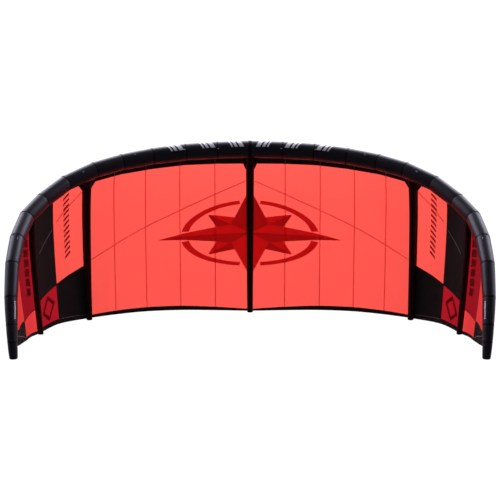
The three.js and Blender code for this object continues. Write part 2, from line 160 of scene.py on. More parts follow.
def directions(station):
    """Along the tube, out of the kite's hollow, and from the tube towards the canopy. The run is the mean
    direction over half a station to each side, and outward is square to the run and the chord."""
    run = unit(tube_centre(np.minimum(station + 0.5, LAST_SEAM)) - tube_centre(station - 0.5))
    chord = tail_point(station) - tube_centre(station)
    outward = unit(np.cross(chord, run))
    outward *= np.where(outward[..., :1] + 0.5 * outward[..., 1:2] < 0, -1.0, 1.0)
    back = unit(chord - (chord * run).sum(-1, keepdims=True) * run)
    return run, outward, back


def sewn_point(station):
    """Where the cloth starts: on a circle just under the tube's skin, at the angle of the SEWN_AT table."""
    _, outward, back = directions(station)
    angle = np.radians(np.interp(station, SEWN_AT[:, 0], SEWN_AT[:, 1]))[..., None]
    reach = (tube_column(station, 3) - TUCK)[..., None]
    return tube_centre(station) + reach * (np.cos(angle) * outward + np.sin(angle) * back)


def edge_point(station):
    """The trailing edge: the tail line moved out by its standoff."""
    standoff = np.interp(station, TAIL_LINE[:, 0], TAIL_LINE[:, 5])[..., None]
    return tail_point(station) + standoff * directions(station)[1]


def chord_length(station):
    return np.linalg.norm(edge_point(station) - sewn_point(station), axis=-1)


def canopy(station, share, offset=0.0):
    """The canopy's middle surface: straight from the sewn line to the trailing edge, pushed outwards by the
    camber, which follows one parabola up to its crest and another down to the trailing edge."""
    station, share = np.broadcast_arrays(np.asarray(station, float), np.asarray(share, float))
    rise = (2 * CREST * share - share**2) / CREST**2
    fall = (1 - 2 * CREST + 2 * CREST * share - share**2) / (1 - CREST) ** 2
    depth = np.interp(station, TAIL_LINE[:, 0], TAIL_LINE[:, 4]) * np.where(share < CREST, rise, fall)
    s = share[..., None]
    flat = (1 - s) * sewn_point(station) + s * edge_point(station)
    return flat + directions(station)[1] * (depth + offset)[..., None]


# Length along the middle of the chord from the middle of the kite, as a table over the stations.
SPAN_AT = np.linspace(0, TIP_END, 600)
SPAN_LENGTH = np.r_[0, np.cumsum(np.linalg.norm(np.diff(canopy(SPAN_AT, 0.5), axis=0), axis=1))]


def cloth_place(station, share):
    """The cloth's own metres: along the span, and down the chord."""
    return np.stack([np.interp(station, SPAN_AT, SPAN_LENGTH), share * chord_length(station)], -1)


def cloth_spot(along, down):
    """Station and share of a place given in the cloth's own metres."""
    station = np.interp(along, SPAN_LENGTH, SPAN_AT)
    return station, down / chord_length(station)


def wrinkles(station, share):
    """How far the cloth stands off its smooth surface. Short gathers hang from the sewn edge and fade in
    0.12 m. Each upright seam pulls the cloth in along a shallow channel with puckers. Long soft creases run
    from the struts' ends, and a slow swell runs over the whole."""
    place = cloth_place(station, share)
    along, down = place[..., 0], place[..., 1]
    left = chord_length(station) - down
    gathers = 0.0007 * np.exp(-down / 0.06) * (np.sin(along * 97) + np.sin(along * 61 + 2)
                                               + np.sin(along * 151 + 1))
    hem = 0.0006 * np.exp(-left / 0.05) * (np.sin(along * 43 + 1) + np.sin(along * 71))
    out = gathers + hem
    for seam in (*MAIN_SEAMS[1:-1], WING_SEAM):
        off = along - np.interp(seam, SPAN_AT, SPAN_LENGTH)
        channel = np.exp(-((off / 0.03) ** 2))
        out -= channel * (0.0009 + 0.0005 * np.sin(down * 85 + seam * 3) * np.sin(down * 23 + seam))
    for at, root, *_ in STRUTS.values():
        off = along - np.interp(at, SPAN_AT, SPAN_LENGTH)
        spread = np.abs(off) - root
        fan = np.arctan2(spread, np.maximum(down, 0.01))
        out += 0.0011 * np.exp(-np.hypot(spread, down) / 0.14) * np.sin(fan * 11) * (spread > 0)
        tail_fan = np.arctan2(spread, np.maximum(left, 0.01))
        out += 0.0012 * np.exp(-np.hypot(spread, left) / 0.16) * np.sin(tail_fan * 9) * (spread > 0)
    out += 0.0012 * np.sin(along * 5.1 + 0.6) * np.sin(down * 4.3 + along)
    ease = np.clip(down / 0.02, 0, 1) * np.clip(left / 0.01, 0, 1)
    return out * ease


def cloth_point(station, share):
    return canopy(station, share, wrinkles(station, share))


def add_mesh(name, points, faces, uv, side=1, sharp=50):
    """An object from points, faces and one pair of coordinates for each face corner. The left wing's is the
    mirror image, with each face turned round so that it still faces out."""
    points = points * (side, 1, 1)
    if side < 0:
        faces, uv = faces[:, ::-1], uv[:, ::-1]
    mesh = bpy.data.meshes.new(name)
    mesh.from_pydata(points.tolist(), [], faces.tolist())
    layer = mesh.uv_layers.new(name="cloth")
    layer.data.foreach_set("uv", uv.astype(np.float32).ravel())
    mesh.polygons.foreach_set("use_smooth", np.ones(len(faces), bool))
    mesh.set_sharp_from_angle(angle=math.radians(sharp))
    piece = bpy.data.objects.new(name, mesh)
    bpy.context.scene.collection.objects.link(piece)
    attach(piece, "root")
    return piece


def grid_faces(rows, columns, around=False):
    """Four corner numbers for each cell of a grid, row by row. Around joins the last column to the first."""
    i, j = np.meshgrid(np.arange(rows - 1), np.arange(columns if around else columns - 1), indexing="ij")
    nxt = (j + 1) % columns
    return np.stack([i * columns + j, (i + 1) * columns + j, (i + 1) * columns + nxt, i * columns + nxt],
                    -1).reshape(-1, 4)


def corner_uv(place):
    """The corners' coordinates of each cell, from one pair for each grid point. A grid that closes round on
    itself has one column more of pairs than of points."""
    a, b, c, d = place[:-1, :-1], place[1:, :-1], place[1:, 1:], place[:-1, 1:]
    return np.stack([a, b, c, d], -2).reshape(-1, 4, 2)


def gather(parts):
    """One mesh's points, faces and coordinates from those of several."""
    points, faces, uv = zip(*parts)
    first = np.cumsum([0] + [len(p) for p in points[:-1]])
    return np.concatenate(points), np.concatenate([f + n for f, n in zip(faces, first)]), np.concatenate(uv)


def sheet_parts(middle, normal, thickness, place):
    """A closed thin sheet: the middle surface moved half its thickness to both sides, and a rim round it."""
    rows, columns = middle.shape[:2]
    half = normal * thickness / 2
    points = np.concatenate([(middle + half).reshape(-1, 3), (middle - half).reshape(-1, 3)])
    front, under = grid_faces(rows, columns), rows * columns
    rim = np.concatenate([np.arange(columns - 1), np.arange(rows - 1) * columns + columns - 1,
                          rows * columns - 1 - np.arange(columns - 1),
                          (rows - 1 - np.arange(rows - 1)) * columns])
    nxt = np.roll(rim, -1)
    edge = np.stack([rim, nxt, nxt + under, rim + under], -1)
    faces = np.concatenate([front[:, ::-1], front + under, edge[:, ::-1]])
    flat = place.reshape(-1, 2)
    face_uv = corner_uv(place)
    edge_uv = np.stack([flat[rim], flat[nxt], flat[nxt], flat[rim]], 1)[:, ::-1]
    return facing_out(points, faces, np.concatenate([face_uv[:, ::-1], face_uv, edge_uv]))


def outward_of(points):
    """Normals of a grid of points: the cross product of its two slopes."""
    return unit(np.cross(np.gradient(points, axis=1), np.gradient(points, axis=0)))


def facing_out(points, faces, uv):
    """Turns every face round if the closed mesh holds a negative volume."""
    a, b, c, d = (points[faces[:, k]] for k in range(4))
    volume = (a * np.cross(b, c)).sum() + (a * np.cross(c, d)).sum()
    return (points, faces[:, ::-1], uv[:, ::-1]) if volume < 0 else (points, faces, uv)


def along_line(line, amount):
    """Points of a line of [station, share] rows at an amount that runs from 0 to its number of stretches."""
    line = np.asarray(line, float)
    rows = np.arange(len(line))
    return np.stack([np.interp(amount, rows, line[:, k]) for k in (0, 1)], -1)


def on_line(line, station):
    """The place of a seam line at a station."""
    return [station, float(np.interp(station, *np.transpose(line)))]


def matched(upper, lower, start, stop):
    """Two seam lines between two stations, with a corner on both wherever one of them has one."""
    stops = sorted({start, stop, *(at for at, _ in upper + lower if start < at < stop)})
    return [[on_line(line, at) for at in stops] for line in (upper, lower)]


# Size of a cloth panel's cells, and the cloth's thickness.
CLOTH_CELL, CLOTH_THICKNESS = 0.011, 0.0009


def panel(name, side, top, bottom):
    """A cloth panel between two seam lines: every column runs straight, in station and share, from a point
    of the top line to its partner on the bottom line."""
    stretches = len(top) - 1
    ends = [cloth_point(*along_line(line, np.linspace(0, stretches, 60)).T) for line in (top, bottom)]
    widest = float(max(np.linalg.norm(np.diff(end, axis=0), axis=1).sum() for end in ends))
    longest = float(np.linalg.norm(ends[1] - ends[0], axis=1).max())
    each = max(2, math.ceil(widest / CLOTH_CELL / stretches))
    down = max(3, math.ceil(longest / CLOTH_CELL))
    amount = np.linspace(0, stretches, each * stretches + 1)
    share_down = np.linspace(0, 1, down + 1)[None, :, None]
    upper, lower = (along_line(line, amount)[:, None, :] for line in (top, bottom))
    spot = upper * (1 - share_down) + lower * share_down
    station, share = spot[..., 0], spot[..., 1]
    middle = cloth_point(station, share)
    parts = sheet_parts(middle, outward_of(middle), CLOTH_THICKNESS, cloth_place(station, share))
    piece = add_mesh(f"cloth_{name}", *parts, side)
    cell = np.cross(middle[1:, :-1] - middle[:-1, :-1], middle[:-1, 1:] - middle[:-1, :-1])
    return piece


def facet(a, b, c, d, cell=0.02):
    """Grid over the four-cornered shape a, b, c, d: straight lines between its sides ab and dc."""
    a, b, c, d = (np.array(corner, float) for corner in (a, b, c, d))
    longest = [max(np.linalg.norm(p - q) for p, q in pair) for pair in (((a, d), (b, c)), ((a, b), (d, c)))]
    s, t = (np.linspace(0, 1, max(1, math.ceil(size / cell)) + 1) for size in longest)
    s, t = s[:, None, None], t[None, :, None]
    return (1 - s) * ((1 - t) * a + t * b) + s * ((1 - t) * d + t * c)


def cloth_patches(name, side, patches, thickness):
    """Shapes cut from cloth and sewn flat on both faces of the canopy: closed sheets a little thicker than
    it, over grids of places in the cloth's own metres."""
    parts = []
    for place in patches:
        station, share = cloth_spot(place[..., 0], place[..., 1])
        parts.append(sheet_parts(cloth_point(station, share), directions(station)[1], thickness, place))
    return add_mesh(on_wing(name, side), *gather(parts), side)


def tube_patches(name, side, patches, thickness):
    """Thin shapes on the tube's skin, over grids of metres along it and angles round it."""
    parts = []
    for place in patches:
        station = np.interp(place[..., 0], TUBE_RUN, np.arange(LAST_SEAM + 1))
        skin = tube_skin(station, place[..., 1])
        normal = unit(tube_skin(station, place[..., 1], 0.01) - skin)
        parts.append(sheet_parts(skin, normal, thickness, place))
    return add_mesh(on_wing(name, side), *gather(parts), side)


def tube_parts(rings, along):
    """A closed body through rings of an even number of points, with a fan about the middle of each end. Its
    coordinates are metres along it and turns round it."""
    rows, columns = rings.shape[:2]
    points = np.concatenate([rings.reshape(-1, 3), rings[0].mean(0)[None], rings[-1].mean(0)[None]])
    j = np.arange(0, columns, 2)
    fan = np.stack([j, j + 1, (j + 2) % columns], -1)
    start = np.c_[fan, np.full(len(j), rows * columns)]
    end = np.c_[fan[:, ::-1] + (rows - 1) * columns, np.full(len(j), rows * columns + 1)]
    faces = np.concatenate([grid_faces(rows, columns, around=True), start, end])
    turns = np.linspace(0, 1, columns + 1)[None, :]
    place = np.stack(np.broadcast_arrays(along[:, None], turns), -1)
    caps = np.zeros((2 * len(j), 4, 2))
    caps[..., 0] = np.repeat([along[0], along[-1]], len(j))[:, None]
    return facing_out(points, faces, np.concatenate([corner_uv(place), caps]))


def add_tube(name, rings, along, side=1):
    return add_mesh(name, *tube_parts(rings, along), side)


def run_length(middle):
    """Metres along a line of points."""
    return np.r_[0, np.cumsum(np.linalg.norm(np.diff(middle, axis=0), axis=1))]


def seam_axis(seam):
    """The normal of a seam's ring: half way between the two stretches of tube that meet there."""
    here = TUBE_SEAMS[seam, :3]
    if seam == 0:
        return np.array([1.0, 0, 0])
    if seam == LAST_SEAM:
        return np.array([0, 0, -1.0])
    return unit(unit(here - TUBE_SEAMS[seam - 1, :3]) + unit(TUBE_SEAMS[seam + 1, :3] - here))


def ring_frame(seam):
    """Centre of a seam's ring, and its directions out of the hollow and towards the canopy."""
    axis = seam_axis(seam)
    _, outward, back = (d[0] for d in directions(np.array([min(seam, TIP_END)])))
    out = unit(outward - outward @ axis * axis)
    towards = np.cross(axis, out)
    return TUBE_SEAMS[seam, :3], out, towards * np.sign(towards @ back), axis


# For each seam of the tube, its frame, and its distance along the tube from the kite's middle.
RING_FRAMES = [ring_frame(seam) for seam in range(LAST_SEAM + 1)]
TUBE_RUN = run_length(TUBE_SEAMS[:, :3])


def tube_skin(station, turn, grow=0.0):
    """A point of the tube's skin. The turn is an angle from the outermost line towards the canopy. Between
    two seams the rings blend in straight lines, the radius swells a little in the middle, and beside each
    seam the skin is drawn in and puckers, most on the inner side of the bend."""
    seam = np.clip(np.floor(station).astype(int), 0, LAST_SEAM - 1)
    t = (station - seam)[..., None]
    centres, outs, backs = (np.array([f[k] for f in RING_FRAMES]) for k in range(3))
    length = np.diff(TUBE_RUN)[seam]
    near = np.minimum(t[..., 0], 1 - t[..., 0]) * length
    nearest = np.where(t[..., 0] < 0.5, seam, seam + 1)
    swell = 0.0022 * (1 - np.exp(-near / 0.05)) - 0.0016 * np.exp(-((near / 0.006) ** 2))
    bend = KINKS[nearest, 1]
    inner = np.clip(np.cos(turn - bend), 0, 1) ** 2 * KINKS[nearest, 0]
    pucker = np.exp(-near / 0.035) * (0.0003 + 0.004 * inner) * (np.sin(turn * 23 + nearest * 2.1)
                                                                 + 0.6 * np.sin(turn * 37 + nearest))
    rings = []
    for k in (seam, seam + 1):
        radius = (TUBE_SEAMS[k, 3] + swell + pucker + grow)[..., None]
        rings.append(centres[k] + radius * (np.cos(turn)[..., None] * outs[k]
                                            + np.sin(turn)[..., None] * backs[k]))
    return rings[0] * (1 - t) + rings[1] * t


def kinks():
    """For each seam, the sine of half the bend there and the turn that faces the inside of the bend."""
    rows = [(0.0, 0.0)]
    for seam in range(1, LAST_SEAM):
        before = unit(TUBE_SEAMS[seam, :3] - TUBE_SEAMS[seam - 1, :3])
        after = unit(TUBE_SEAMS[seam + 1, :3] - TUBE_SEAMS[seam, :3])
        pull = after - before
        _, out, towards, _ = RING_FRAMES[seam]
        rows.append((np.linalg.norm(pull) / 2, math.atan2(pull @ towards, pull @ out)))
    rows.append((0.0, 0.0))
    return np.array(rows)


KINKS = kinks()


def leading_edge():
    """The whole tube from foot to foot: closely spaced rows beside each seam, wider ones between, and a level
    sole with a small bevel at each foot."""
    near = np.array([0, 0.004, 0.009, 0.015, 0.024, 0.04, 0.065, 0.1])
    bevel = 0.004
    rows = []
    for seam in range(LAST_SEAM):
        length = TUBE_RUN[seam + 1] - TUBE_RUN[seam]
        steps = near[near < length * 0.4] / length
        middle = np.linspace(steps[-1], 1 - steps[-1], 8)[1:-1]
        rows.append(seam + np.r_[steps, middle, (1 - steps[:0:-1])])
    half = np.r_[np.concatenate(rows), LAST_SEAM]
    turn = np.linspace(0, 2 * np.pi, 96, endpoint=False)
    station, angle = np.meshgrid(half, turn, indexing="ij")
    right = tube_skin(station, angle)
    sole = right[-1] * (1, 1, 0)
    foot = sole.mean(0) + (sole - sole.mean(0)) * 0.93
    right[-1] = sole + (0, 0, bevel)
    right = np.concatenate([right, foot[None]])
    left = right[:0:-1] * (-1, 1, 1)
    run = np.interp(half, np.arange(LAST_SEAM + 1), TUBE_RUN)
    run = np.r_[run, run[-1] + bevel]
    piece = add_tube("leading_edge", np.concatenate([left, right]), np.r_[-run[:0:-1], run])
    stretches = ("tube_main", "tube_shoulder", "tube_tip", "tip_end")
    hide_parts(*[f"{stretch}_{word}" for stretch in stretches for word in SIDES])
    return piece


# Sections of the bands round the tube: metres along it and out of its skin. A lapped seam is 11 mm wide, and
# the reinforcing band round the middle 36 mm.
LAPPED_SEAM = np.array([[-0.0062, -0.001], [-0.0055, 0.0008], [-0.002, 0.0013], [0.002, 0.0013],
                        [0.0055, 0.0008], [0.0062, -0.001], [0, -0.002]])
MIDDLE_BAND = np.array([[-0.0185, -0.001], [-0.018, 0.0018], [-0.012, 0.0028], [0.012, 0.0028],
                        [0.018, 0.0018], [0.0185, -0.001], [0, -0.002]])


def hoop(seam, profile):
    """A closed band round the tube at a seam: the section carried round a circle."""
    turn = np.linspace(0, 2 * np.pi, 72, endpoint=False)
    centre, out, towards, axis = RING_FRAMES[seam]
    radial = np.cos(turn)[:, None] * out + np.sin(turn)[:, None] * towards
    reach = TUBE_SEAMS[seam, 3] + profile[None, :, 1:]
    ring = centre + radial[:, None, :] * reach + axis * profile[None, :, :1]
    faces = grid_faces(len(turn) + 1, len(profile), around=True) % (len(turn) * len(profile))
    around = np.linspace(0, 2 * np.pi, len(turn) + 1)[:, None] * TUBE_SEAMS[seam, 3]
    across = np.linspace(0, 1, len(profile) + 1)[None, :]
    place = np.stack(np.broadcast_arrays(around, across), -1)
    return facing_out(ring.reshape(-1, 3), faces, corner_uv(place))


def seam_hoops(side):
    """The tube's lapped seams on one wing."""
    parts = [hoop(seam, LAPPED_SEAM) for seam in range(1, LAST_SEAM)]
    return add_mesh(on_wing("tube_seams", side), *gather(parts), side, 40)


def centre_band():
    return add_mesh("tube_centre_band", *hoop(0, MIDDLE_BAND), 1, 40)


# Rings of a strut's rounded tail: share of its drop, and share of the strut's radius.
FOOT_ROUNDING = ((0.3, 1.0), (0.52, 0.985), (0.72, 0.95), (0.87, 0.88), (0.96, 0.78), (1, 0.68), (1, 0.35))
# The first rings of a strut: share of its length, and how far its skin flares where it meets the tube.
ROOT_FLARE = ((0, 0.007), (0.004, 0.0045), (0.009, 0.0028), (0.016, 0.0013), (0.025, 0.0004), (0.04, 0))
# A strut's skirt, which meets the cloth: the degrees from its outermost line where it is at its flattest and
# where it ends, and how far it reaches past the strut's radius.
SKIRT_FLAT, SKIRT_END, SKIRT_REACH = 40, 75, 0.0008


def strut(name, side=1):
    """A strut's skin: a round taper along the inside of the canopy whose outer side spreads into a skirt
    that meets the cloth. Its root follows the tube's skin, and its tail is a level rounded foot."""
    at, root, tail, drop = STRUTS[name]
    turn = np.linspace(-np.pi, np.pi, 64, endpoint=False)
    share = np.linspace(0, 1, 900)
    radius = root + (tail - root) * share
    axis = canopy(np.full(len(share), float(at)), share, -radius - SKIN_GAP)
    run = unit(np.gradient(axis, axis=0))
    outward = directions(np.array([float(at)]))[1][0]
    out = unit(outward - (run @ outward)[:, None] * run)
    across = np.cross(run, out)
    radius = radius[:, None]
    bend = np.degrees(np.abs(turn))
    skirt_side = np.sign(turn) * np.interp(bend, [0, SKIRT_FLAT, SKIRT_END], [0, 0.78, 0.966])
    skirt = np.clip((SKIRT_END - bend) / (SKIRT_END - SKIRT_FLAT), 0, 1)
    skirt = skirt * skirt * (3 - 2 * skirt)
    reach_out = np.cos(turn) * (1 - skirt) * radius + skirt * (radius + SKIRT_REACH)
    reach_side = (np.sin(turn) * (1 - skirt) + skirt_side * skirt) * radius
    skin = (axis[:, None, :] + out[:, None, :] * reach_out[..., None]
            + across[:, None, :] * reach_side[..., None])
    # Each line of the skin starts at the last share where it is still inside the tube.
    stations = np.linspace(max(at - 1, 0), at + 1, 81)
    centres = tube_centre(stations)
    if at == 0:
        centres = np.concatenate([centres * (-1, 1, 1), centres])
        stations = np.r_[stations, stations]
    gap = np.full(skin.shape[:2], np.inf)
    for centre, size in zip(centres, tube_column(stations, 3)):
        gap = np.minimum(gap, np.linalg.norm(skin - centre, axis=-1) - size)
    inside = (gap < 0.0012) & (share < 0.25)[:, None]
    first = np.where(inside.any(0), len(share) - np.argmax(inside[::-1], axis=0), 0)
    start = share[np.clip(first, 0, len(share) - 1)]
    root_rows, flare = np.transpose(ROOT_FLARE)
    rows = np.r_[root_rows, np.linspace(0.06, 1, 70)]
    wanted = start[None, :] + rows[:, None] * (1 - start)[None, :]
    grid = np.stack([np.stack([np.interp(wanted[:, j], share, skin[:, j, k]) for k in range(3)], -1)
                     for j in range(len(turn))], 1)
    middle = np.stack([np.interp(wanted, share, axis[:, k]) for k in range(3)], -1)
    grid[:len(flare)] += unit(grid - middle)[:len(flare)] * flare[:, None, None]
    foot = axis[-1]
    ring = grid[-1] - foot
    ends = [foot + ring * (size, size, 1 - down) - (0, 0, drop * down) for down, size in FOOT_ROUNDING]
    rings = np.concatenate([grid, np.array(ends)])
    label = name if at == 0 else on_wing(name, side)
    piece = add_tube(f"{label}_skin", rings, run_length(rings.mean(1)), side)
    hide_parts(label)
    return piece


TAPE_THICKNESS = 0.0022


def tape_on_cloth(places, width):
    """Rings of a flat tape that lies on the canopy along a line of [station, share] places and wraps both
    faces of the cloth: a lens-shaped section, square to the line."""
    station, share = places[:, 0], places[:, 1]
    middle = cloth_point(station, share)
    run = unit(np.gradient(middle, axis=0))
    outward = directions(station)[1]
    across = unit(np.cross(run, outward))
    normal = np.cross(across, run)
    turn = np.linspace(0, 2 * np.pi, 8, endpoint=False)
    flat = np.sign(np.cos(turn)) * np.abs(np.cos(turn)) ** 0.6 * width / 2
    lift = np.sin(turn) * TAPE_THICKNESS / 2
    return middle[:, None, :] + across[:, None, :] * flat[:, None] + normal[:, None, :] * lift[:, None]


def dense(line, step=0.02):
    """A line of [station, share] corners with points about 20 mm apart."""
    line = np.asarray(line, float)
    out = [line[:1]]
    for a, b in zip(line[:-1], line[1:]):
        ends = canopy(np.array([a[0], b[0]]), np.array([a[1], b[1]]))
        count = max(1, math.ceil(np.linalg.norm(ends[1] - ends[0]) / step))
        out.append(a + (b - a) * np.linspace(0, 1, count + 1)[1:, None])
    return np.concatenate(out)


def tapes(name, side, lines, width):
    """Several tapes on the canopy as one piece."""
    rings = [tape_on_cloth(dense(line), width) for line in lines]
    parts = [tube_parts(tape, run_length(tape.mean(1))) for tape in rings]
    return add_mesh(on_wing(name, side), *gather(parts), side)


def bridle_tab(number, side):
    """A webbing loop sewn to the tube: a strap carried along a narrow loop, 16 mm wide and 22 mm tall."""
    at, degrees = TABS[number - 1]
    run, outward, back = (d[0] for d in directions(np.array([float(at)])))
    angle = math.radians(degrees)
    out = -math.cos(angle) * outward - math.sin(angle) * back
    normal = unit(np.cross(run, out))
    base = tube_centre(np.array([float(at)]))[0] + out * (tube_column(at, 3) + 0.0004)
    t = np.linspace(0, 1, 40)
    # Height and half gap of the loop: up one leg, round the top, and down the other.
    phase = np.pi * t
    height = 0.0222 * np.sin(phase) ** 0.55
    gap = 0.0024 * np.cos(phase) * (0.35 + 0.65 * np.sin(phase) ** 1.5)
    width = np.array([-0.008, -0.0078, 0.0078, 0.008, 0.0078, -0.0078])
    thick = np.array([0, 0.0005, 0.0005, 0, -0.0005, -0.0005])
    middle = base + out * height[:, None] + normal * gap[:, None]
    along = unit(np.gradient(middle, axis=0))
    across = unit(np.cross(along, run))
    rings = middle[:, None, :] + run * width[:, None] + across[:, None, :] * thick[:, None]
    label = on_wing(f"bridle_tab_{number}", side)
    piece = add_tube(f"{label}_loop", rings, run_length(middle), side)
    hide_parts(label)
    return piece


class Value:
    """A shader output. Each operator on it adds the Math node of the same name."""

    def __init__(self, finish, output):
        self.finish, self.output = finish, output

    def math(self, operation, *others):
        return self.finish.node("ShaderNodeMath", {"operation": operation}, [self, *others])

    def __add__(self, other):
        return self.math("ADD", other)

    def __sub__(self, other):
        return self.math("SUBTRACT", other)

    def __rsub__(self, other):
        return self.finish.node("ShaderNodeMath", {"operation": "SUBTRACT"}, [other, self])

    def __mul__(self, other):
        return self.math("MULTIPLY", other)

    __radd__, __rmul__ = __add__, __mul__

    def absolute(self):
        return self.math("ABSOLUTE")

    def low(self, other):
        return self.math("MINIMUM", other)

    def high(self, other):
        return self.math("MAXIMUM", other)

    def wave(self, period):
        """A sine of the given period, from -1 to 1."""
        return (self * (2 * math.pi / period)).math("SINE")

    def saw(self, period):
        """The distance to the nearest whole multiple of the period."""
        return self.math("PINGPONG", period / 2)

    def under(self, edge, soft):
        """1 below the edge and 0 above it, over a soft step."""
        return self.finish.node("ShaderNodeMapRange", {"interpolation_type": "SMOOTHSTEP"},
                                {"Value": self, "From Min": edge - soft, "From Max": edge + soft,
                                 "To Min": 1.0, "To Max": 0.0})

    def over(self, edge, soft):
        """0 below the edge and 1 above it, over a soft step."""
        return 1 - self.under(edge, soft)


class Finish:
    """A material, or the world, whose nodes are added one by one."""

    def __init__(self, owner, kind="Material"):
        self.owner, self.kind = owner, kind
        owner.use_nodes = True
        self.tree = owner.node_tree
        self.tree.nodes.clear()

    def node(self, kind, settings=None, inputs=None, output=0):
        """A node: its type, its settings, and the values or links of its sockets, by name or in order."""
        made = self.tree.nodes.new(kind)
        for key, value in (settings or {}).items():
            setattr(made, key, value)
        pairs = enumerate(inputs) if isinstance(inputs, list) else (inputs or {}).items()
        for key, value in pairs:
            if isinstance(value, Value):
                self.tree.links.new(value.output, made.inputs[key])
            else:
                made.inputs[key].default_value = value
        return None if output is None else Value(self, made.outputs[output])

    def mix(self, factor, first, second):
        """Colour first where the factor is 0, and second where it is 1."""
        return self.node("ShaderNodeMix", {"data_type": "RGBA"}, {0: factor, 6: first, 7: second}, output=2)

    def axes(self, vector):
        """The three numbers of a vector."""
        return [self.node("ShaderNodeSeparateXYZ", None, [vector], output=k) for k in range(3)]

    def cloth_axes(self):
        """The piece's own two coordinates: metres on cloth, metres and turns on a tube or tape."""
        return self.axes(self.node("ShaderNodeUVMap", {"uv_map": "cloth"}))[:2]

    def noise(self, scale, detail=2.0, roughness=0.5):
        place = self.node("ShaderNodeTexCoord", output=3)
        return self.node("ShaderNodeTexNoise", None,
                         {"Vector": place, "Scale": scale, "Detail": detail, "Roughness": roughness})

    def bump(self, height, distance, strength):
        return self.node("ShaderNodeBump", None,
                         {"Height": height, "Distance": distance, "Strength": strength})

    def done(self, shader):
        """The material or world itself, with this shader as its output."""
        self.node(f"ShaderNodeOutput{self.kind}", None, [shader], output=None)
        return self.owner


def material(name):
    return Finish(bpy.data.materials.new(name))


def srgb(red, green, blue):
    """A colour given as a screen shows it, from 0 to 255, as the shader's linear numbers."""
    linear = [(c / 255 / 12.92 if c < 10 else ((c / 255 + 0.055) / 1.055) ** 2.4) for c in (red, green, blue)]
    return (*linear, 1.0)


def twice(red, green, blue):
    """The colour of each face of a thin cloth, for light that is the given colour once it is through both."""
    return (*(c ** 0.5 for c in srgb(red, green, blue)[:3]), 1.0)


def sailcloth(name, colour, deep, glow=None, see_through=0, roughness=0.5, gloss=0.12):
    """Thin ripstop cloth: two near colours in soft patches, a square grid of thicker threads every 5 mm,
    faint creases, and on pale cloth a share of the light let through, in the colour of its glow."""
    f = material(name)
    along, down = f.cloth_axes()
    threads = along.saw(0.005).under(0.00035, 0.00018).high(down.saw(0.005).under(0.00035, 0.00018))
    dyed = f.mix(f.noise(2.5, 3.0), colour, deep)
    tinted = f.mix(threads * 0.12, dyed, (0.9, 0.75, 0.75, 1))
    normal = f.bump(f.noise(9.0, 4.0, 0.55) * 0.6 + threads * 0.1, 0.0016, 0.5)
    surface = f.node("ShaderNodeBsdfPrincipled", None,
                     {"Base Color": tinted, "Roughness": f.noise(30.0, 2.0) * 0.12 + (roughness - 0.06),
                      "Normal": normal, "Specular IOR Level": gloss})
    if not see_through:
        return f.done(surface)
    through = f.node("ShaderNodeBsdfTranslucent", None, {"Color": glow})
    share = (threads * -0.1 + 1) * see_through
    return f.done(f.node("ShaderNodeMixShader", None, {0: share, 1: surface, 2: through}))


def sleeve_cloth(name, gloss, colour, worn, roughness=0.5):
    """Dense sailcloth of the tube and struts: a satin weave with a faint sheen, worn paler in soft patches,
    with a roughness that varies over the surface."""
    f = material(name)
    along, turn = f.cloth_axes()
    weave = along.wave(0.0022) * turn.wave(0.004)
    normal = f.bump(f.noise(14.0, 3.0) + weave * 0.05, 0.0012, 0.45)
    rough = f.noise(18.0, 3.0) * 0.12 + roughness
    surface = f.node("ShaderNodeBsdfPrincipled", None,
                     {"Base Color": f.mix(f.noise(4.0, 4.0), colour, worn), "Roughness": rough,
                      "Normal": normal, "Specular IOR Level": gloss, "Specular Tint": (0.8, 0.79, 1, 1)})
    return f.done(surface)


def tape_finish(name, colour, thread, glow=None, see_through=0):
    """Seam tape with two rows of zigzag stitches along it, each a triangle wave of 6 mm."""
    f = material(name)
    along, turn = f.cloth_axes()
    zigzag = along.saw(0.006) * (1 / 0.003) - 0.5
    lane = (turn - 0.25).absolute().low((turn - 0.75).absolute())
    stitch = (lane * 8 - zigzag.absolute() * 0.9).absolute().under(0.16, 0.05)
    normal = f.bump(stitch, 0.0003, 0.6)
    surface = f.node("ShaderNodeBsdfPrincipled", None,
                     {"Base Color": f.mix(stitch, colour, thread), "Roughness": f.noise(40.0) * 0.1 + 0.5,
                      "Normal": normal, "Specular IOR Level": 0.1})
    if not see_through:
        return f.done(surface)
    through = f.node("ShaderNodeBsdfTranslucent", None, {"Color": glow})
    share = stitch * -0.3 + see_through
    return f.done(f.node("ShaderNodeMixShader", None, {0: share, 1: surface, 2: through}))


def webbing_finish(name):
    """Pale polyester tape with a ribbed weave across its width."""
    f = material(name)
    along, turn = f.cloth_axes()
    ribs = along.wave(0.0012) * 0.5 + turn.wave(0.05) * 0.3
    colour = f.mix(f.noise(60.0), srgb(235, 235, 238), srgb(205, 205, 212))
    surface = f.node("ShaderNodeBsdfPrincipled", None,
                     {"Base Color": colour, "Roughness": f.noise(80.0) * 0.1 + 0.6,
                      "Normal": f.bump(ribs, 0.0003, 0.6), "Specular IOR Level": 0.2})
    return f.done(surface)


BLACK, BLACK_WARM = srgb(12, 7, 9), srgb(17, 9, 10)
CORAL, CORAL_DEEP, CORAL_GLOW = srgb(255, 88, 76), srgb(250, 80, 68), twice(255, 88, 75)
TIP_CORAL, TIP_GLOW = srgb(250, 66, 66), twice(255, 68, 66)
RED, RED_DEEP, RED_GLOW = srgb(152, 17, 30), srgb(140, 15, 26), twice(176, 22, 35)
SLEEVE, SLEEVE_WORN = srgb(24, 20, 23), srgb(31, 26, 30)

